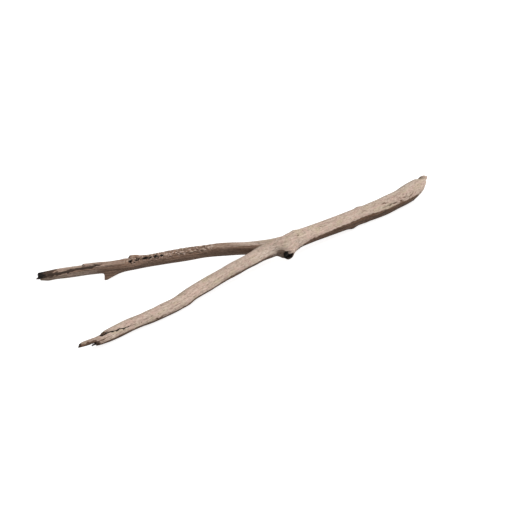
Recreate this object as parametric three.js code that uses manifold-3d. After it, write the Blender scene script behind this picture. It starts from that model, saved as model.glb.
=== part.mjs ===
// A weathered, forked branch without bark, lying on a surface.
// Millimetres, +Z up. +X runs along the stem, and the origin is the middle of the footprint.
import * as THREE from "three";
import { mergeVertices } from "three/addons/utils/BufferGeometryUtils.js";
import Module from "manifold-3d";

// Driving dimensions.
const FORK = [20.9, -114.3, 0]; // the fork, seen from above, from the middle of the footprint
const CROTCH = [-47, 22, 0]; // where the two limbs part, from the fork
const SIDES = 20; // facets round a limb
const STUB_SIDES = 12; // facets round a stub
const STEP = 10; // length of a loft step along a limb
const GAP = 0.3; // width of the cuts at the fork
const OVAL = { share: 0.035, twist: 7 }; // how oval a section is, of its radius, and its turn along a limb
const TREFOIL = { share: 0.02, twist: -11 }; // the same for how three-sided it is
const WELD = 1e-4; // points closer than this are one point
const SETTLE = 60; // length over which a limb takes on its own section after the fork

// Centre lines from the fork outwards: x, y from the fork, height, radius.
const STEM = [
  [0, 0, 31.2, 17.6],
  [22, -5, 31.6, 18.6],
  [61, -7, 29.5, 18.2],
  [118, -9, 26, 17.3],
  [173, -13.5, 22.8, 18],
  [246, -18.5, 20, 18.6],
  [304, -24, 18.7, 19.5],
  [354, -27, 19, 19.6],
  [399, -27, 20.8, 19.9],
  [437, -26, 23.5, 18.4],
  [468, -24, 27, 14],
];
const NEAR_LIMB = [
  [0, 0, 31.2, 17.6],
  [-23, 6, 29.6, 16],
  [-57, 7, 27.5, 14.6],
  [-87, 7, 25.5, 14.2],
  [-136, 8, 22, 13.8],
  [-201, 7, 18, 13.4],
  [-242, 5.5, 16, 13.7],
  [-278, 1.5, 14.3, 13.6],
  [-340, 4, 12.4, 12.6],
  [-384, 9, 11.8, 12.5],
  [-428, 11.5, 11.9, 12.2],
  [-470, 11, 13, 11],
];
const FAR_LIMB = [
  [0, 0, 31.2, 17.6],
  [-16, 14, 30.6, 15.4],
  [-32, 29, 30, 14.2],
  [-49, 46, 28.7, 14],
  [-75, 71, 27.2, 13.4],
  [-115, 100, 26, 13.2],
  [-158, 126, 24.5, 13.5],
  [-195, 146, 23, 13],
  [-225, 162, 22, 12.2],
  [-258, 177, 21, 12.2],
  [-299, 203, 20, 11.4],
  [-333, 225, 19.7, 11],
  [-359, 240, 19.2, 10.8],
  [-388, 254.5, 18.8, 10],
  [-415, 270, 18.7, 8.8],
];

// Stubs and splinters: from a point inside the limb to the tip, with a radius at each.
const KNOT = { from: [16, -4, 31], to: [4, -29.5, 13.5], radius: [14, 8.5] };
const KNOT_HOLLOW = { depth: 10, radius: [6, 3] }; // from the knot's mouth inwards
const KNOB = { from: [442, -25, 29], to: [466, -20, 37], radius: [9, 5] };
const TONGUE = { from: [-418, 12, 13.5], to: [-506, 18, 14.5], radius: [9.5, 2.8] };
const THORN = { from: [-282, 194, 20], to: [-306, 188.5, -2], radius: [11, 3.2] };
const SNAG = { from: [-222, 166, 29], to: [-248, 181, 33], radius: [5, 5] };

// Broken ends: a point on the break and the way the break faces.
const STEM_BREAK = { at: [449, -25, 24], facing: [0.75, -0.41, -0.52] };
const NEAR_BREAK = { at: [-457, 11, 13], facing: [-0.85, 0.15, 0.5] };
const FAR_BREAK = { at: [-410, 266, 18.5], facing: [-0.92, 0.3, 0.25] };

const wasm = await Module();
wasm.setup();

const upright = new THREE.Vector3(0, 0, 1);
const rodAxis = new THREE.Vector3(0, 1, 0); // the axis of a CylinderGeometry
const vector = (row) => new THREE.Vector3(row[0], row[1], row[2]);
const curve = (points) => new THREE.CatmullRomCurve3(points, false, "catmullrom", 0.5);

// A closed geometry as a solid that can be joined and cut.
function solid(geometry) {
  geometry.deleteAttribute("normal");
  geometry.deleteAttribute("uv");
  const merged = mergeVertices(geometry, WELD);
  return new wasm.Manifold(
    new wasm.Mesh({
      numProp: 3,
      vertProperties: merged.getAttribute("position").array,
      triVerts: new Uint32Array(merged.index.array),
    }),
  );
}

// A tapering, slightly lobed rod along a centre line. Its first section lies square to startWay.
function limb(rows, startWay) {
  const path = curve(rows.map(vector));
  const girth = curve(rows.map((row) => new THREE.Vector3(row[3], 0, 0)));
  const length = path.getLength();
  const geometry = new THREE.CylinderGeometry(1, 1, 1, SIDES, Math.round(length / STEP));
  const position = geometry.getAttribute("position");
  const local = new THREE.Vector3();
  for (let i = 0; i < position.count; i++) {
    local.fromBufferAttribute(position, i);
    const t = local.y + 0.5;
    const settled = THREE.MathUtils.smoothstep(t * length, 0, SETTLE);
    const along = startWay.clone().lerp(path.getTangent(t), settled).normalize();
    const side = along.clone().cross(upright).normalize();
    const up = side.clone().cross(along);
    const angle = Math.atan2(local.z, local.x);
    const oval = OVAL.share * Math.cos(2 * angle + OVAL.twist * t);
    const trefoil = TREFOIL.share * Math.cos(3 * angle + TREFOIL.twist * t);
    const radius = girth.getPoint(t).x * (1 + settled * (oval + trefoil));
    const point = path.getPoint(t);
    point.addScaledVector(side, radius * local.x).addScaledVector(up, radius * local.z);
    position.setXYZ(i, point.x, point.y, point.z);
  }
  return solid(geometry);
}

// A short tapering stub between two points, with a radius at each.
function stub({ from, to, radius }) {
  const way = vector(to).sub(vector(from));
  const geometry = new THREE.CylinderGeometry(radius[1], radius[0], way.length(), STUB_SIDES);
  geometry.translate(0, way.length() / 2, 0);
  geometry.applyQuaternion(new THREE.Quaternion().setFromUnitVectors(rodAxis, way.normalize()));
  return solid(geometry.translate(...from));
}

// Everything past a plane, to be cut away.
function beyond(at, facing) {
  const reach = 3000;
  const geometry = new THREE.BoxGeometry(reach, reach, reach).translate(0, 0, reach / 2);
  const turn = new THREE.Quaternion().setFromUnitVectors(upright, facing.clone().normalize());
  return solid(geometry.applyQuaternion(turn).translate(at.x, at.y, at.z));
}

const breakOff = ({ at, facing }) => beyond(vector(at), vector(facing));
const ground = beyond(new THREE.Vector3(), upright.clone().negate());

// A cross-cut at the fork parts the stem from both limbs, and a rip cut to the crotch parts the limbs.
const forkPoint = vector(STEM[0]);
const stemWay = curve(STEM.map(vector)).getTangent(0);
const limbWay = stemWay.clone().negate();
const stemRegion = beyond(forkPoint.clone().addScaledVector(limbWay, GAP), stemWay);
const towardsNear = upright.clone().cross(vector(CROTCH)).normalize();
const towardsFar = towardsNear.clone().negate();
const farRegion = beyond(forkPoint.clone().addScaledVector(towardsNear, GAP / 2), towardsFar);
const nearRegion = beyond(forkPoint.clone().addScaledVector(towardsFar, GAP / 2), towardsNear);

function stem() {
  const inwards = vector(KNOT.from).sub(vector(KNOT.to)).normalize();
  const inKnot = (depth) => vector(KNOT.to).addScaledVector(inwards, depth).toArray();
  const hollow = stub({ from: inKnot(-1), to: inKnot(KNOT_HOLLOW.depth), radius: KNOT_HOLLOW.radius });
  return limb(STEM, stemWay)
    .add(stub(KNOB))
    .subtract(breakOff(STEM_BREAK))
    .add(stub(KNOT))
    .subtract(hollow)
    .subtract(beyond(forkPoint, limbWay))
    .subtract(ground);
}

function nearLimb() {
  return limb(NEAR_LIMB, limbWay)
    .subtract(breakOff(NEAR_BREAK))
    .add(stub(TONGUE))
    .subtract(stemRegion)
    .subtract(farRegion)
    .subtract(ground);
}

function farLimb() {
  return limb(FAR_LIMB, limbWay)
    .subtract(breakOff(FAR_BREAK))
    .add(stub(SNAG))
    .add(stub(THORN))
    .subtract(stemRegion)
    .subtract(nearRegion)
    .subtract(ground);
}

// A named piece of the branch.
function piece(name, shape, color) {
  const { vertProperties, triVerts } = shape.getMesh();
  const geometry = new THREE.BufferGeometry();
  geometry.setAttribute("position", new THREE.BufferAttribute(vertProperties, 3));
  geometry.setIndex(new THREE.BufferAttribute(triVerts, 1));
  geometry.computeVertexNormals();
  const wood = new THREE.MeshStandardMaterial({ color, roughness: 0.85, metalness: 0 });
  const made = new THREE.Mesh(geometry, wood);
  made.name = name;
  return made;
}

const branch = new THREE.Group();
branch.position.set(...FORK);
branch.add(piece("stem", stem(), 0xc7b29f));
branch.add(piece("near_limb", nearLimb(), 0xc5b09d));
branch.add(piece("far_limb", farLimb(), 0x7d6a5b));

export default branch;
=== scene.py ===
import math

import bmesh
import bpy
import numpy as np
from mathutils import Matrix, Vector, noise


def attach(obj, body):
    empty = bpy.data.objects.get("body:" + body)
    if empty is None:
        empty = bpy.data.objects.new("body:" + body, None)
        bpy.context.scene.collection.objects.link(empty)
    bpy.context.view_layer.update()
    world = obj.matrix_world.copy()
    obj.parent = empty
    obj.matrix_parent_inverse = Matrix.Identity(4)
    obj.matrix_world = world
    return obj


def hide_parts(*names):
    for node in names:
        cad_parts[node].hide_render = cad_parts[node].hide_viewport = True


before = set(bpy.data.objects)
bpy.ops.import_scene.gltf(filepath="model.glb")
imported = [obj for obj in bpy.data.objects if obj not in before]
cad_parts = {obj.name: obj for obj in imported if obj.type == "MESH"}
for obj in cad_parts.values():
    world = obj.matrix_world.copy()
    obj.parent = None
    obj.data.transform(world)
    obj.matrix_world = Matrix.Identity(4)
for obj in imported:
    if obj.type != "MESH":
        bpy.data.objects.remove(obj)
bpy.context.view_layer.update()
mm = 0.001
print("frame loaded:", sorted(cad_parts))

# the fork, in the CAD's millimetres
fork = dict(
    at=(20.9, -114.3, 0),
    crotch=(-47, 22, 0),  # the way from the fork to where the limbs part
    settle=60,  # where along a limb its own direction and grain have taken over
    reach=80,  # how far the fork's own rings go along a limb
    rings=7,
    calm=(0, 14),  # weathering comes in with the distance from the plane between the limbs
    apart=(40, 80),  # or along a limb, whichever is sooner
)
skin = dict(sides=24, ringStep=11.5, levels=3, capShares=(0.88, 0.7, 0.5, 0.28))

# centre lines as in the CAD, from the fork outwards: x, y from the fork, height, radius
stem = dict(
    node="stem",
    slot="bleached_wood",
    way=-1,  # the wood grew from the stem's end towards the fork
    rows=[
        (0, 0, 31.2, 17.6),
        (22, -5, 31.6, 18.6),
        (61, -7, 29.5, 18.2),
        (118, -9, 26, 17.3),
        (173, -13.5, 22.8, 18),
        (246, -18.5, 20, 18.6),
        (304, -24, 18.7, 19.5),
        (354, -27, 19, 19.6),
        (399, -27, 20.8, 19.9),
        (437, -26, 23.5, 18.4),
        (468, -24, 27, 14),
    ],
    # along the limb, angle round it, half length, half width, height or depth
    swells=[
        (52, 55, 24, 9, 2),
        (52, 56, 7, 7, 1.6),
        (110, 54, 30, 8, 0.8),
        (245, 56, 8, 7, 2),
        (265, 54, 22, 8, -0.8),
        (418, 56, 36, 13, 2.6),
        (452, 62, 6, 9, -3),
        (462, 82, 8, 9, 2.6),
        (40, 230, 12, 8, 2.8),
        (115, 230, 34, 8, 1.2),
        (211, 232, 11, 7, 2.6),
        (253, 232, 14, 7, 1.2),
        (326, 230, 28, 8, 1),
        (170, 226, 110, 13, 1.2),
    ],
    pits=[(433, 180, 5, 2.4, 3)],
    # the same for stains and for painted shade, and below zero for bleached patches and painted highlights
    smudges=[
        (45, 123, 7, 3, 0.5),
        (62, 118, 6, 3, 0.5),
        (242, 123, 9, 3, 0.5),
        (308, 128, 9, 3, 0.5),
        # a long patch that widens the dark side below, partly painted shade
        (365, 150, 60, 10, 0.42),
        # a painted highlight on the lower side beside the knot
        (42, 165, 18, 9, -0.3),
        (220, 76, 90, 8, -0.25),
        (370, 74, 70, 9, -0.4),
    ],
    rings=[],
    # along the limb, angle round it, width, depth
    cracks=[
        [(285, 150, 0.8, 0.3), (330, 152, 1.6, 1.2), (388, 158, 0.8, 0.3)],
        [(300, 108, 0.8, 0.3), (345, 112, 1.4, 1.0), (400, 110, 0.8, 0.3)],
        [(90, 118, 0.8, 0.3), (120, 120, 1.3, 0.9), (150, 117, 0.8, 0.3)],
    ],
    # the ridge between the bleached side and the darker underside, whose colour is partly a stain and partly
    # painted shade: along the limb, angle round it
    ridge=[(40, 192), (75, 178), (120, 172), (200, 164), (290, 166), (345, 168), (400, 173), (470, 179)],
    ridgeFrom=(0, 40),  # where along the limb it rises
    darkness=1.0,  # how strong the dark side's colour is, stain and painted shade together
    darkFrom=(32, 56),  # where along the limb the dark side starts
    darkEnd=(125, 158),  # how far round from the ridge it ends
    splitAngle=52,  # the way the broken end splits into slabs
    endStart=408,  # where that end starts
    bareEnd=(419, 409),  # where its stains and painted shade stop
    fray=1.6,  # how ragged the fibres of the end are
)
nearLimb = dict(
    node="near_limb",
    slot="bleached_wood",
    way=1,
    rows=[
        (0, 0, 31.2, 17.6),
        (-23, 6, 29.6, 16),
        (-57, 7, 27.5, 14.6),
        (-87, 7, 25.5, 14.2),
        (-136, 8, 22, 13.8),
        (-201, 7, 18, 13.4),
        (-242, 5.5, 16, 13.7),
        (-278, 1.5, 14.3, 13.6),
        (-340, 4, 12.4, 12.6),
        (-384, 9, 11.8, 12.5),
        (-428, 11.5, 11.9, 12.2),
        (-470, 11, 13, 11),
    ],
    swells=[
        (205, 54, 50, 8, 1.5),
        (315, 54, 22, 8, 1.7),
        (346, 54, 14, 8, 1.3),
        (390, 52, 70, 9, 1.8),
        (25, 225, 30, 9, 1.8),
        (68, 226, 16, 8, 1.5),
        (254, 224, 14, 7, 1.4),
        (370, 228, 50, 8, -1),
    ],
    pits=[(371.5, 155.5, 2, 1.3, 1.3)],
    # the second, below zero, is a painted highlight on the lower side by the fork
    smudges=[(325, 184, 22, 4, 0.7), (40, 156, 35, 9, -0.5)],
    rings=[(457, 102, 7.5, 2.6, 2)],  # a round carved in, painted dark as shade by its depth, its heart still there
    cracks=[
        [
            (380, 152, 0.9, 0.6),
            (399, 145, 1.8, 1.9),
            (412, 143, 2.2, 2.4),
            (420, 131, 3.2, 3),
            (430, 130, 2.6, 2.8),
            (440, 114, 3, 2.6),
            (452, 110, 1.6, 1),
        ],
        [(425, 152, 0.8, 0.4), (445, 153, 1.4, 0.9), (470, 154, 1.4, 0.9)],
    ],
    ridge=[(0, 194), (45, 192), (90, 180), (140, 181), (200, 190), (320, 192), (370, 181), (470, 178)],
    ridgeFrom=(30, 80),
    darkness=0.75,
    darkFrom=(0, 24),
    darkEnd=(120, 150),
    splitAngle=50,
    endStart=440,
    fray=2.6,
)
farLimb = dict(
    node="far_limb",
    slot="gnawed_wood",
    way=1,
    rows=[
        (0, 0, 31.2, 17.6),
        (-16, 14, 30.6, 15.4),
        (-32, 29, 30, 14.2),
        (-49, 46, 28.7, 14),
        (-75, 71, 27.2, 13.4),
        (-115, 100, 26, 13.2),
        (-158, 126, 24.5, 13.5),
        (-195, 146, 23, 13),
        (-225, 162, 22, 12.2),
        (-258, 177, 21, 12.2),
        (-299, 203, 20, 11.4),
        (-333, 225, 19.7, 11),
        (-359, 240, 19.2, 10.8),
        (-388, 254.5, 18.8, 10),
        (-415, 270, 18.7, 8.8),
    ],
    swells=[
        (26, 60, 22, 9, 1.2),
        (318, 62, 6, 7, 1.4),
        (330, 60, 26, 8, 1.6),
        (455, 62, 30, 7, 1.2),
        (210, 236, 90, 8, 1),
        (482, 236, 12, 7, 1.8),
    ],
    pits=[
        (308, 114, 4.5, 3, 4),
        (294.5, 119.5, 5, 2.6, 4),
        (277, 116, 10, 3.4, 5),
        (267, 119, 4, 3.2, 4),
        (256, 121, 6, 2.6, 2.2),
        (243, 122, 5, 2.6, 3),
        (256, 142, 8, 1.4, 1.2),
    ],
    smudges=[(350, 235, 18, 10, 0.4)],
    rings=[],
    cracks=[
        [
            (358, 108, 1, 0.4),
            (378, 119, 5.5, 1.1),
            (392, 128, 7.5, 1.15),
            (414, 133, 8.5, 1.1),
            (431, 135, 8.5, 1.1),
            (447, 144, 8, 1.1),
            (462, 146, 7, 1.05),
            (480, 140, 6, 1),
        ],
    ],
    ridge=[(0, 130), (500, 130)],
    ridgeFrom=(30, 80),
    darkness=0.8,
    darkFrom=(0, 40),
    darkEnd=(145, 176),
    splitAngle=59,
    endStart=430,
    fray=3,
)
limbs = [stem, nearLimb, farLimb]


def smoothstep(low, high, value):
    t = np.clip((value - low) / (high - low), 0, 1)
    return t * t * (3 - 2 * t)


def unit(vectors):
    return vectors / np.linalg.norm(vectors, axis=-1, keepdims=True)


# a smooth curve through rows of numbers, its ends carried straight on
def smoothRows(rows, perRow=16):
    padded = np.vstack([2 * rows[0] - rows[1], rows, 2 * rows[-1] - rows[-2]])
    u = np.linspace(0, len(rows) - 1, perRow * (len(rows) - 1) + 1)
    i = np.minimum(u.astype(int), len(rows) - 2)
    f = (u - i)[:, None]
    a, b, c, d = (padded[i + k] for k in range(4))
    return 0.5 * (2 * b + (c - a) * f + (2 * a - 5 * b + 4 * c - d) * f**2 + (3 * b - a - 3 * c + d) * f**3)


# the line that a limb follows, with a section plane at each sample: side points to +Y, up to +Z
def layLine(limb, startWay=None):
    rows = np.array(limb["rows"], float)
    rows[:, :3] += fork["at"]
    samples = smoothRows(rows)
    points = samples[:, :3]
    s = np.concatenate([[0], np.cumsum(np.linalg.norm(np.diff(points, axis=0), axis=1))])
    outwards = unit(np.gradient(points, s, axis=0))
    growth = limb["way"] * outwards
    if startWay is not None:
        settled = smoothstep(0, fork["settle"], s)[:, None]
        growth = unit(startWay + (growth - startWay) * settled)
    side = unit(np.cross(growth, (0, 0, 1)))
    limb["line"] = dict(
        s=s,
        length=s[-1],
        points=points,
        radius=samples[:, 3],
        outwards=outwards,
        side=side,
        up=np.cross(side, growth),
    )


def at(line, name, s):
    values = line[name]
    if values.ndim == 1:
        return np.interp(s, line["s"], values)
    return np.stack([np.interp(s, line["s"], values[:, k]) for k in range(3)], axis=-1)


def onLimb(line, s, angle, share=1.0):
    spoke = np.cos(angle) * at(line, "side", s).T + np.sin(angle) * at(line, "up", s).T
    return at(line, "points", s) + (share * at(line, "radius", s) * spoke).T


layLine(stem)
growthAtFork = -stem["line"]["outwards"][0]
layLine(nearLimb, growthAtFork)
layLine(farLimb, growthAtFork)
forkPoint = stem["line"]["points"][0]
towardsNear = unit(np.cross((0, 0, 1), np.array(fork["crotch"], float)))
turn = 2 * math.pi / skin["sides"]


# where points lie on a limb: along its line, then across it in the section's side and up
def measure(line, places):
    nearest = np.concatenate(
        [  # in parts, to spare memory
            np.argmin(((part[:, None] - line["points"]) ** 2).sum(2), axis=1)
            for part in np.array_split(places, len(places) // 4000 + 1)
        ]
    )
    outwards = line["outwards"][nearest]
    s = line["s"][nearest] + ((places - line["points"][nearest]) * outwards).sum(1)
    beyond = np.maximum(s - line["length"], 0)[:, None] * line["outwards"][-1]
    spokes = places - at(line, "points", s) - beyond
    gx = (spokes * at(line, "side", s)).sum(1)
    gy = (spokes * at(line, "up", s)).sum(1)
    return s, gx, gy


# how far across a limb a place lies, in the way its end splits into slabs
def acrossSplit(limb, gx, gy):
    split = math.radians(limb["splitAngle"])
    return gx * math.cos(split) + gy * math.sin(split)


# where the faces of a limb lie on the map for its bake: two strips for its halves, and above them its
# broken end, the wall and the face of a stub, and the cut at the fork
bakeMap = dict(
    name="OFBake",
    seamSide=18,
    margin=0.012,
    stripTop=0.8,
    disc=0.075,
    end=(0.09, 0.905),
    stubWall=(0.2, 0.83, 0.42, 0.15),  # its corner, width and height
    stubTurn=540,  # the degrees that its width holds, a turn and what runs past the seam
    stubFace=(0.73, 0.905),
    cut=(0.91, 0.905),
    cutSize=60,  # millimetres of the cut for the disc's radius
)


# angles and sides that run past the seam of the map stay beside their neighbours
def closeSeam(values, whole):
    if max(values) - min(values) <= whole / 2:
        return values
    return [value + whole if value < whole / 2 else value for value in values]


def mapFace(bm, face, length):
    spotOf = bm.loops.layers.uv[bakeMap["name"]]
    sideOf = bm.verts.layers.int["side"]
    alongOf, shareOf = (bm.verts.layers.float[name] for name in ("along", "share"))
    verts = [loop.vert for loop in face.loops]
    if min(v[shareOf] for v in verts) < 1:
        spots = []
        for v in verts:
            spoke = Vector((math.cos(turn * v[sideOf]), math.sin(turn * v[sideOf])))
            spots.append(Vector(bakeMap["end"]) + bakeMap["disc"] * v[shareOf] * spoke)
    else:
        sides = skin["sides"]
        fromSeam = closeSeam([(v[sideOf] - bakeMap["seamSide"]) % sides for v in verts], sides)
        outer = np.mean([v[alongOf] for v in verts]) > length / 2
        start = length / 2 - skin["ringStep"] if outer else 0
        scale = (bakeMap["stripTop"] - bakeMap["margin"]) / (length / 2 + skin["ringStep"])
        spots = [
            (
                outer / 2 + bakeMap["margin"] + (0.5 - 2 * bakeMap["margin"]) * i / sides,
                bakeMap["margin"] + scale * (v[alongOf] - start),
            )
            for v, i in zip(verts, fromSeam)
        ]
    for loop, spot in zip(face.loops, spots):
        loop[spotOf].uv = spot


# the skin of the branch as one cage: rings grown outwards from the fork
def growRing(bm, edges, limbIndex, alongAt, share=1.0):
    line = limbs[limbIndex]["line"]
    grown = bmesh.ops.extrude_edge_only(bm, edges=edges)["geom"]
    verts = {g for g in grown if isinstance(g, bmesh.types.BMVert)}
    sideOf = bm.verts.layers.int["side"]
    alongOf, shareOf = (bm.verts.layers.float[name] for name in ("along", "share"))
    for v in verts:
        v[alongOf] = alongAt(v[sideOf])
        v[shareOf] = share
        v.co = Vector(onLimb(line, v[alongOf], turn * v[sideOf], share)) * mm
    for face in {f for v in verts for f in v.link_faces}:
        face[bm.faces.layers.int["limb"]] = limbIndex
        mapFace(bm, face, line["length"])
    return [e for e in grown if isinstance(e, bmesh.types.BMEdge) and verts.issuperset(e.verts)]


def closeEnd(bm, edges, limbIndex):
    length = limbs[limbIndex]["line"]["length"]
    for share in skin["capShares"]:
        edges = growRing(bm, edges, limbIndex, lambda i: length, share)
    for face in bmesh.ops.edgeloop_fill(bm, edges=edges)["faces"]:
        face[bm.faces.layers.int["limb"]] = limbIndex
        mapFace(bm, face, length)


def growLimb(bm, edges, limbIndex, starts):
    length = limbs[limbIndex]["line"]["length"]
    for k in range(1, fork["rings"] + 1):
        part = k / fork["rings"]
        edges = growRing(bm, edges, limbIndex, lambda i: starts[i] + (fork["reach"] - starts[i]) * part)
    rings = math.ceil((length - fork["reach"]) / skin["ringStep"])
    for s in np.linspace(fork["reach"], length, rings + 1)[1:]:
        edges = growRing(bm, edges, limbIndex, lambda i: s)
    closeEnd(bm, edges, limbIndex)


# how far along a limb its side at this angle comes free of the other limb
def freeFrom(line, angle, sign):
    s = np.linspace(0, fork["reach"], 4 * fork["reach"] + 1)
    outside = sign * ((onLimb(line, s, angle) - forkPoint) @ towardsNear) > 0
    return s[np.argmax(outside)]


# stubs pulled out of the cage: where their root lies along and round the limb or across its end, how
# round it becomes, their tip from the fork, the way their broken face looks, shares of the way to the tip
# with the width left there, and the same for the hollow in their face, with how dark it is
knot = dict(
    limb=0,
    along=(1, 29),
    round=(180, 255),
    across=(-30, 30),
    roundness=0.85,
    tip=(12.3, -17.4, 20.4),
    way=(-0.55, -0.74, -0.38),
    facing=(-0.58, -0.8, -0.1),
    steps=[(0.4, 0.85), (0.85, 0.72), (1.0, 0.66)],
    hollow=[(1.0, 0.58), (0.9, 0.54), (0.6, 0.46), (0.35, 0.32)],
    # the knot's hollow painted near black: partly a rotten core, partly painted shade
    dark=0.9,
    rimShade=0.42,
    sliver=(66, 12, 0.62),  # wood left standing in the hollow: its angle, half width and reach
    sliverLevels=3,  # how many rows of the hollow it stands in
    sliverPale=1.6,
    # waves round its rim: how many, their turn and size
    ragged=[(1, 40, 0.16), (2, 40, 0.05), (3, 100, 0.07), (5, 10, 0.06)],
    raggedDepth=1.5,  # how far the shorter waves lean forwards and back
    collar=(8.5, 9, 25),  # the swelling that carries it: its height, and where it falls off
    collarBack=(-40, -20),  # and where it starts behind the tip
    # a scoop where the twig tore out wood beside it, darkened with painted shade, seen from the front: its
    # middle from the tip, its half width and half height, and its depth
    scoop=(-14.4, 1.8, 14, 10.5, 0.6),
    scoopWall=(1.2, 0.55),  # shares of its half size over which it deepens
    scoopShade=(1.04, 0.9),  # and is painted dark as shade
    scoopShadeTone=0.58,
    scoopReach=(24, 32),  # it fades away from the knot's axis
    scoopBack=(-42, -30),  # behind the tip
    scoopTurn=(-0.5, -0.1),  # and where the skin turns away from the front
    front=((0.707, -0.707, 0), (0.354, 0.354, 0.866)),  # across and upwards as seen from there
)
thorn = dict(
    limb=2,
    along=(316, 360),
    round=(185, 275),
    across=(-30, 30),
    roundness=0,
    tip=(-306.5, 188.5, -2),
    facing=(-0.5, -0.1, -0.85),
    steps=[(0.25, 0.63), (0.5, 0.38), (0.75, 0.21), (0.98, 0.08)],
    hollow=[],
)
tongue = dict(
    limb=1,
    along=(471, 480),
    round=(0, 360),
    across=(-1.4, 7.2),
    roundness=0,
    tip=(-503.5, 15.8, 18.8),
    facing=(-0.68, 0.54, 0.49),
    steps=[(0.05, 0.98), (0.35, 0.97), (0.7, 0.94), (0.95, 0.88), (1.0, 0.84)],
    hollow=[(1.0, 0.6)],
    dark=0.45,
)


# the faces of a limb that a stub grows from
def stubRoot(bm, stub):
    limb = limbs[stub["limb"]]
    faces = [f for f in bm.faces if f[bm.faces.layers.int["limb"]] == stub["limb"]]
    s, gx, gy = measure(limb["line"], np.array([f.calc_center_median() for f in faces]) / mm)
    angle = np.degrees(np.arctan2(gy, gx)) % 360
    taken = np.ones(len(faces), bool)
    for value, name in ((s, "along"), (angle, "round"), (acrossSplit(limb, gx, gy), "across")):
        low, high = stub[name]
        taken &= (value >= low) & (value <= high)
    return [f for f, take in zip(faces, taken) if take]


def pullStub(bm, stub):
    limb = limbs[stub["limb"]]
    line = limb["line"]
    tip = np.array(stub["tip"]) + fork["at"]
    limbOf = bm.faces.layers.int["limb"]
    baseOf = bm.verts.layers.float_vector["base"]
    darkOf = bm.verts.layers.float["dark"]
    spotOf = bm.loops.layers.uv[bakeMap["name"]]
    root = stubRoot(bm, stub)
    middle = np.mean([f.calc_center_median() for f in root], axis=0) / mm
    way = unit(np.array(stub.get("way", tip - middle)))
    facing = unit(np.array(stub["facing"]))
    right = unit(np.cross((0, 0, 1), way))
    over = np.cross(way, right)
    stub.update(way=way, tipPoint=tip, facing=facing)

    def spokeOf(co):
        local = np.array(co) / mm - tip
        return local - (local @ way) * way

    def angleAt(co):
        spoke = spokeOf(co)
        return math.degrees(math.atan2(spoke @ over, spoke @ right)) % 360

    def angleOf(v):
        return angleAt(v[baseOf])

    # the root's outline is made straight at the end of a limb, and else rounder, its corners spread evenly
    verts = {v for f in root for v in f.verts}
    rim = {v for v in verts if not set(root).issuperset(v.link_faces)}
    rimSize = np.mean([np.linalg.norm(spokeOf(v.co)) for v in rim])
    corners = np.sort([angleAt(v.co) for v in rim])
    even = corners
    if "sliver" in stub:
        sliverAngle = stub["sliver"][0]
        first = np.argmin(np.abs(corners - sliverAngle))
        even = sliverAngle + (np.arange(len(corners)) - first) * 360 / len(corners)
    for v in verts:
        s, gx, gy = measure(line, np.array([v.co]) / mm)
        w = acrossSplit(limb, gx, gy)[0]
        split = math.radians(limb["splitAngle"])
        sideways = math.cos(split) * at(line, "side", s[0]) + math.sin(split) * at(line, "up", s[0])
        v.co += Vector(sideways * (np.clip(w, *stub["across"]) - w)) * mm
        spoke = spokeOf(v.co)
        rounder = stub["roundness"] * (rimSize / np.linalg.norm(spoke) - 1) if v in rim else 0
        by = math.radians(np.interp(angleAt(v.co), corners, even - corners, period=360))
        turned = math.cos(by) * spoke + math.sin(by) * np.cross(way, spoke)
        v[baseOf] = v.co + Vector(turned * (1 + rounder) - spoke) * mm

    levels = stub["steps"] + stub["hollow"]
    ragged = stub.get("ragged", [])
    sliverAt, sliverHalf, sliverReach = stub.get("sliver", (0, 1, 0))
    x, y, width, height = bakeMap["stubWall"]
    for level, (share, size) in enumerate(levels):
        inside = level - len(stub["steps"])
        grown = bmesh.ops.extrude_face_region(bm, geom=root)["geom"]
        bmesh.ops.delete(bm, geom=root, context="FACES")
        root = [g for g in grown if isinstance(g, bmesh.types.BMFace)]
        verts = {g for g in grown if isinstance(g, bmesh.types.BMVert)}
        for v in verts:
            turnedTo = angleOf(v)
            waves = [high * math.sin(math.radians(n * turnedTo + by)) for n, by, high in ragged]
            spoke = spokeOf(v[baseOf]) * size * (1 + sum(waves) * (level > 0))
            if inside >= -2:  # painted shade darkens the lower rim
                v[darkOf] = stub.get("rimShade", 0) * smoothstep(0.2, -0.3, math.sin(math.radians(turnedTo)))
            if inside >= 0:
                standing = math.exp(-(((turnedTo - sliverAt) / sliverHalf) ** 2))
                standing *= (sliverReach > 0) * (inside < stub.get("sliverLevels", 0))
                spoke *= 1 - sliverReach * standing
                v[darkOf] = stub["dark"] * (1 - stub.get("sliverPale", 0) * standing)
                if inside < len(stub["hollow"]) - 3:  # painted shade: a deep hollow darkens from its edge inwards
                    v[darkOf] /= 2
            ahead = (np.array(v[baseOf]) / mm - tip) @ way
            torn = stub.get("raggedDepth", 0) * rimSize * sum(waves[2:])
            lean = share * -(spoke @ facing) / (way @ facing) - torn * share
            v.co = Vector(tip + way * (ahead * (1 - share) + lean) + spoke) * mm
        for face in {f for v in verts for f in v.link_faces}:
            face[limbOf] = stub["limb"]
            angles = closeSeam([angleOf(loop.vert) for loop in face.loops], 360)
            for loop, angle in zip(face.loops, angles):
                up = (level + (loop.vert in verts)) / len(levels)
                loop[spotOf].uv = (x + width * angle / bakeMap["stubTurn"], y + height * up)
    for face in root:
        for loop in face.loops:
            spoke = spokeOf(loop.vert[baseOf]) / (2 * rimSize)
            spot = Vector((spoke @ right, spoke @ over))
            loop[spotOf].uv = Vector(bakeMap["stubFace"]) + bakeMap["disc"] * spot
    print("stub on", limb["node"], "rim %.1f" % rimSize)


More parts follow.
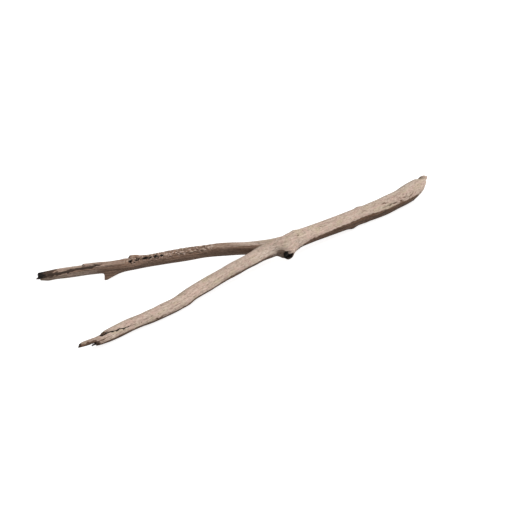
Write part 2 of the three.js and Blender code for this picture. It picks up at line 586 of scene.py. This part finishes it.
def growCage():
    bm = bmesh.new()
    bm.faces.layers.int.new("limb")
    bm.loops.layers.uv.new(bakeMap["name"])
    bm.verts.layers.float_vector.new("base")
    bm.verts.layers.int.new("side")
    for name in ("along", "share", "dark"):
        bm.verts.layers.float.new(name)
    sideOf = bm.verts.layers.int["side"]
    alongOf, shareOf = (bm.verts.layers.float[name] for name in ("along", "share"))
    sides = skin["sides"]
    top, bottom = sides // 4, 3 * sides // 4
    ring = bmesh.ops.create_circle(bm, segments=sides, radius=1)["verts"]
    for i, v in enumerate(ring):
        v[sideOf] = i
        v[shareOf] = 1
        v.co = Vector(onLimb(stem["line"], 0, turn * i)) * mm
    ringEdges = [bm.edges.get((ring[i], ring[(i + 1) % sides])) for i in range(sides)]

    # the stem, from the fork to its broken end
    length = stem["line"]["length"]
    edges = ringEdges
    for s in np.linspace(0, length, math.ceil(length / skin["ringStep"]) + 1)[1:]:
        edges = growRing(bm, edges, 0, lambda i: s)
    closeEnd(bm, edges, 0)

    # the crotch, a row of points from the bottom of the fork to its top, shared by the limbs
    strut = bm.edges.new((ring[bottom], ring[top]))
    inner = bmesh.ops.subdivide_edges(bm, edges=[strut], cuts=sides // 2 - 1)["geom_inner"]
    bm.verts.ensure_lookup_table()
    ring = bm.verts[:sides]  # the cut renews its corners
    crotch = [g for g in inner if isinstance(g, bmesh.types.BMVert)]
    crotch.sort(key=lambda v: (v.co - ring[bottom].co).length)
    chain = [ring[bottom], *crotch, ring[top]]
    crotchEdges = [bm.edges.get(pair) for pair in zip(chain, chain[1:])]
    nearSides = [(bottom + j) % sides for j in range(1, sides // 2)]
    farSides = [bottom - j for j in range(1, sides // 2)]
    nearStarts = dict.fromkeys(range(sides), 0.0)
    farStarts = dict.fromkeys(range(sides), 0.0)
    for v, i, k in zip(crotch, nearSides, farSides):
        nearStarts[i] = freeFrom(nearLimb["line"], turn * i, 1)
        farStarts[k] = freeFrom(farLimb["line"], turn * k, -1)
        nearPoint = onLimb(nearLimb["line"], nearStarts[i], turn * i)
        farPoint = onLimb(farLimb["line"], farStarts[k], turn * k)
        v.co = Vector((nearPoint + farPoint) / 2) * mm
        v[sideOf] = i
        v[alongOf] = nearStarts[i]
        v[shareOf] = 1
    growLimb(bm, ringEdges[top:bottom] + crotchEdges, 1, nearStarts)
    for v, k in zip(crotch, farSides):
        v[sideOf] = k
        v[alongOf] = farStarts[k]
    growLimb(bm, ringEdges[bottom:] + ringEdges[:top] + crotchEdges, 2, farStarts)
    bmesh.ops.recalc_face_normals(bm, faces=bm.faces)
    for stub in (knot, thorn, tongue):
        pullStub(bm, stub)
    return bm


def newObject(name, mesh):
    made = bpy.data.objects.new(name, mesh)
    bpy.context.scene.collection.objects.link(made)
    return made


# the cage, subdivided smooth
def smoothSkin():
    bm = growCage()
    mesh = bpy.data.meshes.new("cage")
    bm.to_mesh(mesh)
    bm.free()
    cage = newObject("cage", mesh)
    smooth = cage.modifiers.new("smooth", "SUBSURF")
    smooth.levels = smooth.render_levels = skin["levels"]
    dense = bpy.data.meshes.new_from_object(cage.evaluated_get(bpy.context.evaluated_depsgraph_get()))
    bpy.data.objects.remove(cage)
    return dense


dense = smoothSkin()
print("skin grown:", len(dense.polygons), "faces")


def readArray(data, name, width, kind=float):
    values = np.empty(len(data) * width, kind)
    data.foreach_get(name, values)
    return values.reshape(-1, width) if width > 1 else values


points = readArray(dense.vertices, "co", 3) / mm
normals = readArray(dense.vertex_normals, "vector", 3)
quads = readArray(dense.loops, "vertex_index", 1, int).reshape(-1, 4)
limbOfFace = readArray(dense.attributes["limb"].data, "value", 1, int)
limbOfVert = np.zeros(len(points), int)
for index in range(len(limbs)):
    limbOfVert[quads[limbOfFace == index]] = index


def field(places, across, along, seed):
    scaled = places / (across, across, along) + seed
    return np.array([noise.noise(p) for p in scaled.tolist()])


def turnedFrom(angle, centre):
    return np.radians((angle - centre + 180) % 360 - 180)


# how deep the cracks and pits of a limb go, and how far its swells stand out
def carve(limb, s, angle, radius, rough):
    depth = np.zeros(len(s))
    for rows in limb["cracks"]:
        places, centres, widths, depths = np.array(rows, float).T
        off = turnedFrom(angle, np.interp(s, places, centres) + 5 * rough) * radius
        half = np.interp(s, places, widths) / 2 * (1 + 0.8 * rough)
        inside = (s > places[0]) & (s < places[-1])
        profile = np.clip(1.3 - (off / half) ** 2, 0, 1)
        depth = np.maximum(depth, inside * np.interp(s, places, depths) * profile)
    for place, centre, halfLength, halfWidth, deep in limb["pits"]:
        off = turnedFrom(angle, centre) * radius
        away = ((s - place) / halfLength) ** 2 + (off / halfWidth) ** 2 + 1.2 * rough
        depth = np.maximum(depth, deep * smoothstep(1.3, 0.3, away))
    for place, centre, halfLength, halfWidth, deep in limb["rings"]:
        off = turnedFrom(angle, centre) * radius
        away = np.hypot((s - place) / halfLength, off / halfWidth) + 0.2 * rough
        depth = np.maximum(depth, deep * smoothstep(0.5, 0.2, np.abs(away - 1)))
    height = np.zeros(len(s))
    for place, centre, halfLength, halfWidth, high in limb["swells"]:
        off = turnedFrom(angle, centre) * radius
        height += high * np.exp(-((s - place) / halfLength) ** 2 - (off / halfWidth) ** 2)
    return depth, height


# how long the fibres are at each place of a broken end
def stemFibres(gx, gy, w):
    notch = 5 * np.exp(-(((w - 3) / 1.6) ** 2))  # a nick in the end
    return np.minimum(455 + 0.95 * gx + 1.5 * gy, 470.5) - notch


def nearFibres(gx, gy, w):
    ends = 470 - 19 * smoothstep(6.6, 7.6, w) - 5 * smoothstep(9, 12, w) - 8 * smoothstep(-7, -11, w)
    return ends + 9 * smoothstep(-5, -4.2, w) * smoothstep(-1.5, -2, w)


def farFibres(gx, gy, w):
    return 494 + 4 * smoothstep(-1, -3, w) - 8 * smoothstep(-4, -5.5, w)


stem["fibres"], nearLimb["fibres"], farLimb["fibres"] = stemFibres, nearFibres, farFibres


# marks of the far limb, each with the ranges along it and round it over which it comes and goes
# a snag of a torn twig on top, broken off towards the limb's end
snag = dict(
    angle=62,
    half=5,
    rise=(268, 302),
    drop=(312, 305),
    face=(303, 306),
    faceEnd=(313, 309),
    high=5.6,
    # painted shade on the snag's steep broken face
    black=0.5,
)
# wood that insects have eaten, and the noise in it: size across and along the grain, and its seed
gnawing = dict(
    start=(110, 160),
    end=(335, 300),
    top=(25, 55),
    below=(178, 128),
    chips=(2.6, 5, 41),
    crumbs=(1.5, 2.6, 47),
    holes=(2.2, 4, 53),
    flakes=(1.8, 3.4, 59),
    flakesEnd=320,
    deeper=(190, 260),
    stained=(25, 120),
)
# an outer layer that ends in a step, with a groove below it painted black as shade, and paler wood beside
# that
peeling = dict(
    start=(340, 380),
    end=(404, 402),
    below=(112, 98),
    jags=(3, 40, 57),
    high=2.4,
    groove=(350, 375),
    grooveShade=0.62,
    pale=(362, 390),
    paleBelow=(150, 168),
    paleTop=(110, 90),
)
# the dark, hollow end
charring = dict(
    start=(452, 466),
    below=(192, 168),
    top=(62, 88),
    tip=(478, 486),
    black=0.58,
    blackTip=(483, 491),
)


# the far limb's torn and gnawed wood: what it adds in height and depth, its stain with painted shade in it,
# and how black it is
def gnaw(s, angle, radius, cross, wall, rough, depth, stainAndShade):
    off = turnedFrom(angle, snag["angle"]) * radius
    across = np.exp(-((off / snag["half"]) ** 4))
    twig = smoothstep(*snag["rise"], s) * smoothstep(*snag["drop"], s) * across
    # the broken face is painted dark as shade
    brokenFace = smoothstep(*snag["face"], s) * smoothstep(*snag["faceEnd"], s + 3 * rough) * across

    gnawed = smoothstep(*gnawing["start"], s) * smoothstep(*gnawing["end"], s) * (1 - twig)
    gnawed = gnawed * smoothstep(*gnawing["top"], angle) * smoothstep(*gnawing["below"], angle + 25 * rough)
    # the groove below the step, for its painted shade
    groove = smoothstep(0.4, 0.9, depth) * smoothstep(*peeling["groove"], s)
    chips, crumbs = (field(cross, *gnawing[name]) for name in ("chips", "crumbs"))
    holes = gnawed * smoothstep(0.1, 0.34, field(cross, *gnawing["holes"]))
    flakes = smoothstep(0.12, 0.32, field(cross, *gnawing["flakes"])) * (s < gnawing["flakesEnd"])
    holeDepth = 1.2 + 0.4 * smoothstep(*gnawing["deeper"], s)
    depth = np.maximum(depth * (1 - 0.6 * flakes), holeDepth * holes)

    jagged = s + 2.5 * field(wall, *peeling["jags"])
    layer = smoothstep(*peeling["start"], s) * smoothstep(*peeling["end"], jagged)
    layer = layer * smoothstep(*peeling["below"], angle + 6 * rough)
    paler = smoothstep(*peeling["paleBelow"], angle) + 0.6 * smoothstep(*peeling["paleTop"], angle)
    paler = smoothstep(*peeling["pale"], s) * paler
    burnt = smoothstep(*charring["start"], s + 14 * rough)
    burnt *= smoothstep(*charring["below"], angle + 18 * rough)
    burnt *= np.maximum(smoothstep(*charring["top"], angle + 12 * rough), smoothstep(*charring["tip"], s))

    height = snag["high"] * twig + gnawed * (0.8 * chips + 0.5 * crumbs - 0.3) + peeling["high"] * layer
    stainAndShade = np.maximum(stainAndShade, (0.58 + 0.1 * gnawed) * smoothstep(*gnawing["stained"], s))
    stainAndShade -= gnawed * (1.4 * chips + 1.2 * crumbs) + 0.1 * smoothstep(320, 360, s) + 0.28 * paler
    # painted shade in cracks and pits, outside the gnawed wood
    stainAndShade = np.maximum(stainAndShade, smoothstep(0.3, 1.0, depth) * (1 - gnawed))
    stainAndShade = np.maximum.reduce([stainAndShade, burnt, brokenFace])
    burntBlack = charring["black"] + 0.27 * smoothstep(*charring["blackTip"], s + 10 * rough)
    black = np.maximum.reduce(
        [burnt * burntBlack, snag["black"] * brokenFace, peeling["grooveShade"] * groove]
    )
    return height, depth, stainAndShade, black


# the near limb's splintered end, with its painted shade: ranges along it, across its slabs and round it
splinters = dict(
    recess=(469, 472),
    recessSlabs=((-5.2, -4.4), (-0.6, -1.4)),
    recessFront=(110, 130),
    notch=(447, 452),
    notchEnd=(469, 460),
    notchSlab=(4.2, 5.4),
    notchFront=(66, 90),
    under=(-2, 8),
    underSlab=(4, 0),
    underSlope=0.145,
    stained=(435, 470),
)


# painted shade in a recess between the slabs (partly darker inner wood), in a notch above them and on the
# tongue's lower face: the stain with it, and how black
def splinter(s, newS, full, angle, w, rough, stainAndShade):
    recess = smoothstep(*splinters["recess"], newS) * smoothstep(full + 2, full, s)
    for slab in splinters["recessSlabs"]:
        recess = recess * smoothstep(*slab, w)
    recess = recess * smoothstep(*splinters["recessFront"], angle)
    notch = smoothstep(*splinters["notchSlab"], w + 2 * rough) * smoothstep(*splinters["notch"], newS)
    notch = notch * smoothstep(*splinters["notchEnd"], newS)
    notch = notch * smoothstep(*splinters["notchFront"], angle) * (angle < 180)
    slope = w - splinters["underSlope"] * (s - full) + 2.5 * rough
    under = smoothstep(*splinters["under"], s - full) * smoothstep(*splinters["underSlab"], slope)
    stainAndShade = stainAndShade + 0.4 * smoothstep(*splinters["stained"], newS)
    return np.maximum.reduce([stainAndShade, recess, notch, under]), np.maximum(0.5 * recess, 0.32 * notch)


# noise that shapes the bare wood: its strength, its size across and along the grain, and its seed
woodNoise = dict(
    lumps=(1.1, 20, 48, 3),
    flutes=(0.9, 6, 110, 11),
    ribs=(0.5, 2.6, 60, 17),
    threads=(0.22, 1.3, 26, 23),
    rough=(1, 2.5, 7, 31),
    fray=(1, 2.2, 60, 61),
    fineFray=(0.5, 1.1, 60, 67),
    ridgeSway=(8, 1, 70, 71),
    ridgeJags=(5, 1, 9, 73),
)
wallRadius = 16  # noise on the wall of a limb is read as if every limb were this thick
# the ridge's half width in degrees, its height as a share of the radius, the part of that which is sunk, and
# the degrees over which the dark side sets in
ridgeShape = dict(half=42, high=0.1, sunk=0.12, darkEdge=(-6, 7))


def ripple(places, name):
    strength, across, along, seed = woodNoise[name]
    return strength * field(places, across, along, seed)


moved = points.copy()
grain = np.zeros((len(points), 3))
tone = np.zeros(len(points))
bleachAndHighlight = np.zeros(len(points))
hollow = np.zeros(len(points))


def weather(index, limb):
    mine = limbOfVert == index
    line = limb["line"]
    s, gx, gy = measure(line, points[mine])
    angle = np.degrees(np.arctan2(gy, gx)) % 360
    radius = np.hypot(gx, gy)
    calm = 1.0
    cross = np.stack([gx, gy, limb["way"] * s], axis=1)
    if limb is not stem:  # the grain leaves the fork as the stem's
        away = np.abs((points[mine] - forkPoint) @ towardsNear)
        calm = np.maximum(smoothstep(*fork["calm"], away), smoothstep(*fork["apart"], s))
        past, side, up = measure(stem["line"], points[mine])
        asStem = np.stack([side, up, -past], axis=1)
        cross = asStem + (cross - asStem) * smoothstep(0, fork["settle"], -past)[:, None]
    wall = np.column_stack([wallRadius * unit(cross[:, :2]), cross[:, 2]])
    rough = ripple(cross, "rough")
    depth, height = carve(limb, s, angle, radius, rough)

    # the fibres of the broken end are longer or shorter
    w = acrossSplit(limb, gx, gy)
    fray = limb["fray"] * (ripple(cross, "fray") + ripple(cross, "fineFray"))
    full = line["length"]
    start = limb["endStart"]
    inEnd = (s > start) & (s < full + 1)
    fibreLength = limb["fibres"](gx, gy, w) + fray
    newS = np.where(inEnd, start + (s - start) * (fibreLength - start) / (full - start), s)

    flutes = ripple(wall, "flutes") + ripple(wall, "ribs")
    height += calm * (ripple(cross, "lumps") + flutes + ripple(wall, "threads"))
    # the ridge between the bleached side and the dark one, whose colour is partly stain and partly painted
    # shade
    alongOnly = cross * (0, 0, 1)
    ridge = np.interp(s, *zip(*limb["ridge"]))
    ridge = ridge + ripple(alongOnly, "ridgeSway") + ripple(alongOnly, "ridgeJags")
    off = np.degrees(turnedFrom(angle, ridge))
    crest = np.clip(1 - np.abs(off) / ridgeShape["half"], 0, 1) - ridgeShape["sunk"]
    height += smoothstep(*limb["ridgeFrom"], s) * ridgeShape["high"] * radius * crest
    # the dark side below the ridge: partly stain, partly painted shade
    darkSide = smoothstep(*ridgeShape["darkEdge"], off)
    darkSide *= 1 - smoothstep(*limb["darkEnd"], off + 20 * rough)
    darkSide *= smoothstep(*limb["darkFrom"], s + 14 * rough)
    # painted shade in cracks and pits, darker the deeper they go
    stainAndShade = np.maximum(limb["darkness"] * darkSide, 0.6 * smoothstep(0.3, 0.9, depth))
    for place, centre, halfLength, halfWidth, amount in limb["smudges"]:
        off = turnedFrom(angle, centre) * radius
        patchy = amount * np.clip(0.8 + 2 * rough, 0, 2)
        stainAndShade += patchy * np.exp(-(((s - place) / halfLength) ** 2) - (off / halfWidth) ** 2)
    # below zero: chalk for bleached patches, gnawed flakes and painted highlights
    bleachAndHighlight[mine] = np.maximum(-stainAndShade, 0)
    black = np.zeros(len(s))
    if limb is stem:
        stainAndShade *= smoothstep(*limb["bareEnd"], newS + 8 * rough)
    if limb is farLimb:
        torn, depth, stainAndShade, black = gnaw(s, angle, radius, cross, wall, rough, depth, stainAndShade)
        height += torn
    if limb is nearLimb:
        stainAndShade, black = splinter(s, newS, full, angle, w, rough, stainAndShade)
    moved[mine] += normals[mine] * (height - depth)[:, None]
    moved[mine] += at(line, "outwards", np.minimum(s, full)) * (newS - s)[:, None]
    grain[mine] = cross + np.outer(limb["way"] * (newS - s), (0, 0, 1))
    tone[mine] = stainAndShade
    # near black for painted shade in deep cracks, pits and holes, and for the black marks
    hollow[mine] = np.maximum(smoothstep(0.4, 2, depth), black)


for index, limb in enumerate(limbs):
    weather(index, limb)


# the swelling that carries the knot, and the scoop beside it, darkened with painted shade
def swellKnot():
    way, facing = knot["way"], knot["facing"]
    fromTip = points - knot["tipPoint"]
    ahead = fromTip @ way
    fromAxis = np.linalg.norm(fromTip - ahead[:, None] * way, axis=1)
    high, inner, outer = knot["collar"]
    near = (1 - smoothstep(inner, outer, fromAxis)) * smoothstep(*knot["collarBack"], ahead)
    across, upward = (np.array(axis) for axis in knot["front"])
    toFront = fromTip + (high * (near - 1))[:, None] * way
    x, y, halfWidth, halfHeight, deep = knot["scoop"]
    off = np.hypot((toFront @ across - x) / halfWidth, (toFront @ upward - y) / halfHeight)
    off += 0.1 * field(toFront, 2.5, 2.5, 83)
    reach = (1 - smoothstep(*knot["scoopReach"], fromAxis)) * smoothstep(*knot["scoopBack"], ahead)
    reach *= smoothstep(*knot["scoopTurn"], normals @ np.cross(across, upward))
    dug = deep * smoothstep(*knot["scoopWall"], off) * reach
    shift = (high * near)[:, None] * way - dug[:, None] * facing
    return near, smoothstep(*knot["scoopShade"], off) * reach, shift


# torn: how far painted shade darkens the scoop
nearKnot, torn, knotShift = swellKnot()
moved += knotShift
# the stubs' painted dark: in the knot's hollow partly rot and partly painted shade, and the tongue's dark
# cut face
dark = readArray(dense.attributes["dark"].data, "value", 1)
hollow = np.maximum(hollow, smoothstep(0.15, 0.75, dark))
# the scoop's painted shade, and the stubs' painted dark
stubStainAndShade = np.maximum(knot["scoopShadeTone"] * torn, smoothstep(0.05, 0.4, dark))
tone = np.maximum(tone * (1 - nearKnot), stubStainAndShade)
moved[:, 2] = np.maximum(moved[:, 2], 0.0)

dense.vertices.foreach_set("co", (moved * mm).ravel())
dense.update()
outward = readArray(dense.vertex_normals, "vector", 3)
for name, kind, values in (
    ("grain", "FLOAT_VECTOR", grain),
    ("outward", "FLOAT_VECTOR", outward),
    ("tone", "FLOAT", tone),
    ("bleachAndHighlight", "FLOAT", bleachAndHighlight),
    ("hollow", "FLOAT", hollow),
):
    dense.attributes.new(name, kind, "POINT").data.foreach_set(
        "vector" if kind == "FLOAT_VECTOR" else "value", values.ravel()
    )
for name in ("base", "side", "along", "share", "dark"):
    dense.attributes.remove(dense.attributes[name])
print("skin weathered:", np.round(moved.min(0), 1), np.round(moved.max(0), 1))


# a node socket that takes part in sums, so that shader maths reads as plain expressions
class Wire:
    def __init__(self, tree, socket=None):
        self.tree = tree
        self.socket = socket

    def node(self, kind, settings=None, inputs=None, out=0):
        made = self.tree.nodes.new(kind)
        for name, value in (settings or {}).items():
            setattr(made, name, value)
        for name, value in (inputs or {}).items():
            if isinstance(value, Wire):
                self.tree.links.new(value.socket, made.inputs[name])
            else:
                made.inputs[name].default_value = value
        return Wire(self.tree, made.outputs[out] if made.outputs else None)

    def math(self, operation, *values):
        return self.node("ShaderNodeMath", {"operation": operation}, dict(enumerate(values)))

    def __add__(self, other):
        return self.math("ADD", self, other)

    __radd__ = __add__

    def __sub__(self, other):
        return self.math("SUBTRACT", self, other)

    def __rsub__(self, other):
        return self.math("SUBTRACT", other, self)

    def __mul__(self, other):
        return self.math("MULTIPLY", self, other)

    __rmul__ = __mul__

    def step(self, low, high):
        inputs = {"Value": self, "From Min": low, "From Max": high}
        return self.node("ShaderNodeMapRange", {"interpolation_type": "SMOOTHSTEP"}, inputs)

    def blend(self, first, second):
        return self.node("ShaderNodeMix", {"data_type": "RGBA"}, {0: self, 6: first, 7: second}, out=2)

    # noise drawn out along the grain: feature size across and along it in millimetres
    def streaks(self, across, along, detail, seed):
        stretch = {0: self, 1: (1 / across, 1 / across, 1 / along), 2: (seed, seed, seed)}
        place = self.node("ShaderNodeVectorMath", {"operation": "MULTIPLY_ADD"}, stretch)
        inputs = {"Vector": place, "Scale": 1, "Detail": detail, "Roughness": 0.6}
        return self.node("ShaderNodeTexNoise", {}, inputs)


bleachedWood = dict(
    beige=(0.475, 0.364, 0.289, 1),
    rose=(0.5, 0.354, 0.291, 1),
    straw=(0.475, 0.38, 0.274, 1),
    chalk=(0.62, 0.52, 0.437, 1),
    grey=(0.24, 0.19, 0.155, 1),
    fleck=(0.14, 0.085, 0.056, 1),
    brown=(0.142, 0.075, 0.042, 1),
    umber=(0.057, 0.029, 0.015, 1),
    hole=(0.01, 0.007, 0.005, 1),
)
gnawedWood = dict(bleachedWood, brown=(0.29, 0.182, 0.127, 1), umber=(0.155, 0.09, 0.06, 1))
# streaks in both, in the order that the material takes: size across and along the grain, detail and seed
woodStreaks = dict(
    fine=(0.9, 24, 3, 5),
    threads=(3, 36, 4, 9),
    cloud=(11, 30, 3, 14),
    warm=(7, 14, 2, 21),
    mottle=(3, 6.5, 4, 27),
    flecks=(1.5, 6.5, 3, 33),
)
woodFinish = dict(bump=0.7, bumpHeight=0.0009, roughness=0.74, fineRoughness=0.18, specular=0.25)


def weatheredWood(name, wood):
    material = bpy.data.materials.new(name)
    material.use_nodes = True
    tree = material.node_tree
    tree.nodes.clear()
    sheet = Wire(tree)
    grain = sheet.node("ShaderNodeAttribute", {"attribute_name": "grain"}, out="Vector")
    tone, bleachAndHighlight, hollow = (
        sheet.node("ShaderNodeAttribute", {"attribute_name": painted}, out="Fac")
        for painted in ("tone", "bleachAndHighlight", "hollow")
    )
    fine, threads, cloud, warm, mottle, flecks = (grain.streaks(*sizes) for sizes in woodStreaks.values())

    pale = warm.step(0.4, 0.6).blend(wood["beige"], wood["rose"])
    pale = cloud.step(0.48, 0.66).blend(pale, wood["straw"])
    pale = (threads.step(0.48, 0.7) * 0.52).blend(pale, wood["chalk"])
    pale = ((1 - threads).step(0.52, 0.72) * 0.48).blend(pale, wood["grey"])
    pale = (mottle.step(0.5, 0.72) * 0.62).blend(pale, wood["chalk"])
    pale = ((1 - mottle).step(0.5, 0.72) * 0.68).blend(pale, wood["grey"])
    pale = (fine.step(0.5, 0.7) * 0.4).blend(pale, wood["grey"])
    # chalk where bleached, and as painted highlights
    pale = (bleachAndHighlight.step(0.05, 0.5) * 0.7).blend(pale, wood["chalk"])
    pale = (flecks.step(0.56, 0.72) * 0.75).blend(pale, wood["fleck"])
    dark = (threads * 0.6 + mottle * 0.4).step(0.38, 0.62).blend(wood["umber"], wood["brown"])
    dark = (fine.step(0.5, 0.7) * 0.35).blend(dark, wood["grey"])
    dark = (flecks.step(0.58, 0.68) * 0.6).blend(dark, wood["umber"])
    # the tone brings in the dark colours: stains, and painted shade on the dark sides and in recesses
    stainAndShade = (tone + (cloud - 0.5) * 0.4 + (threads - 0.5) * 0.4).step(0.1, 0.8)
    colour = stainAndShade.blend(pale, dark)
    # near black where hollow is high: painted shade in cracks, pits, holes and recesses, the knot's rotten
    # core and charred wood
    colour = (hollow + (fine - 0.5) * 0.3).step(0.15, 0.8).blend(colour, wood["hole"])

    relief = fine * 0.5 + threads * 0.7 + mottle * 0.5 - flecks.step(0.58, 0.7) * 0.5
    inputs = {"Strength": woodFinish["bump"], "Distance": woodFinish["bumpHeight"], "Height": relief}
    bump = sheet.node("ShaderNodeBump", {}, inputs)
    inputs = {
        "Base Color": colour,
        "Roughness": woodFinish["roughness"] + fine * woodFinish["fineRoughness"],
        "Normal": bump,
        "Specular IOR Level": woodFinish["specular"],
    }
    surface = sheet.node("ShaderNodeBsdfPrincipled", {}, inputs)
    sheet.node("ShaderNodeOutputMaterial", {}, {"Surface": surface})
    return material


branch = bpy.data.collections.new("branch")
bpy.context.scene.collection.children.link(branch)
woods = {
    "bleached_wood": weatheredWood("bleached_wood", bleachedWood),
    "gnawed_wood": weatheredWood("gnawed_wood", gnawedWood),
}
for index, limb in enumerate(limbs):
    bm = bmesh.new()
    bm.from_mesh(dense)
    limbOf = bm.faces.layers.int["limb"]
    bmesh.ops.delete(bm, geom=[f for f in bm.faces if f[limbOf] != index], context="FACES")
    cut = bmesh.ops.edgeloop_fill(bm, edges=[e for e in bm.edges if e.is_boundary])["faces"]
    fan = bmesh.ops.poke(bm, faces=cut)
    for v in fan["verts"]:
        v.co = Vector(forkPoint) * mm
    for face in fan["faces"]:
        for loop in face.loops:
            spoke = (loop.vert.co / mm - Vector(forkPoint)).yz / bakeMap["cutSize"]
            loop[bm.loops.layers.uv[bakeMap["name"]]].uv = Vector(bakeMap["cut"]) + bakeMap["disc"] * spoke
    mesh = bpy.data.meshes.new(limb["node"])
    bm.to_mesh(mesh)
    bm.free()
    mesh.shade_smooth()
    outward = readArray(mesh.attributes["outward"].data, "vector", 3)
    mesh.normals_split_custom_set_from_vertices(outward.tolist())
    for name in ("outward", "limb"):
        mesh.attributes.remove(mesh.attributes[name])
    mesh.materials.append(woods[limb["slot"]])
    piece = bpy.data.objects.new(limb["node"] + "_wood", mesh)
    branch.objects.link(piece)
    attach(piece, "root")
    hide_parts(limb["node"])
    print(piece.name, sum(len(p.vertices) - 2 for p in mesh.polygons), "triangles")

# a plain white floor
floorPaper = dict(size=15, colour=(0.9, 0.9, 0.9, 1), roughness=0.9, glow=0.83)
studio = bpy.data.collections.new("studio")
bpy.context.scene.collection.children.link(studio)
floorMesh = bpy.data.meshes.new("floor")
bm = bmesh.new()
bmesh.ops.create_grid(bm, x_segments=1, y_segments=1, size=floorPaper["size"])
bm.to_mesh(floorMesh)
bm.free()
floor = bpy.data.objects.new("floor", floorMesh)
studio.objects.link(floor)
paper = bpy.data.materials.new("paper")
paper.use_nodes = True
paperInputs = paper.node_tree.nodes["Principled BSDF"].inputs
paperInputs["Base Color"].default_value = floorPaper["colour"]
paperInputs["Roughness"].default_value = floorPaper["roughness"]
paperInputs["Emission Color"].default_value = (1, 1, 1, 1)
paperInputs["Emission Strength"].default_value = floorPaper["glow"]
floorMesh.materials.append(paper)
floor.visible_diffuse = False

# low side light along the stem, weak light all round, and soft light from above on the floor
light = dict(
    keyFrom=(0.6, -0.46, 0.655),
    keyPower=3.5,
    keyAngle=9,
    fill=0.36,
    overheadPower=40,
    overheadSize=5,
    overheadHeight=4,
)


def addLight(name, kind, power, lit):
    data = bpy.data.lights.new(name, kind)
    data.energy = power
    lamp = newObject(name, data)
    lamp.light_linking.receiver_collection = lit
    return lamp


key = addLight("key", "SUN", light["keyPower"], branch)
key.data.angle = math.radians(light["keyAngle"])
key.rotation_euler = Vector(light["keyFrom"]).to_track_quat("Z", "Y").to_euler()
overhead = addLight("overhead", "AREA", light["overheadPower"], studio)
overhead.data.size = light["overheadSize"]
overhead.location.z = light["overheadHeight"]

world = bpy.data.worlds.new("surroundings")
bpy.context.scene.world = world
world.use_nodes = True
world.node_tree.nodes.clear()
sky = Wire(world.node_tree)
seen = sky.node("ShaderNodeLightPath", out="Is Camera Ray")
glow = sky.node("ShaderNodeBackground", {}, {"Color": (1, 1, 1, 1), "Strength": light["fill"]})
backdrop = sky.node("ShaderNodeBackground", {}, {"Color": (1, 1, 1, 1), "Strength": 1})
mixed = sky.node("ShaderNodeMixShader", {}, {0: seen, 1: glow, 2: backdrop})
sky.node("ShaderNodeOutputWorld", {}, {"Surface": mixed})
bpy.context.scene.view_settings.view_transform = "Standard"

# the photograph's view
view = dict(azimuth=-45, elevation=30, distance=2.54, target=(0.001, -0.0727, 0), lens=85, sensor=36)
azimuth, elevation = math.radians(view["azimuth"]), math.radians(view["elevation"])
back = Vector(
    (math.sin(azimuth) * math.cos(elevation), -math.cos(azimuth) * math.cos(elevation), math.sin(elevation))
)
cameraData = bpy.data.cameras.new("camera")
cameraData.lens = view["lens"]
cameraData.sensor_width = view["sensor"]
camera = newObject("camera", cameraData)
camera.location = Vector(view["target"]) + back * view["distance"]
camera.rotation_euler = (-back).to_track_quat("-Z", "Y").to_euler()
bpy.context.scene.camera = camera

print("branch finished")
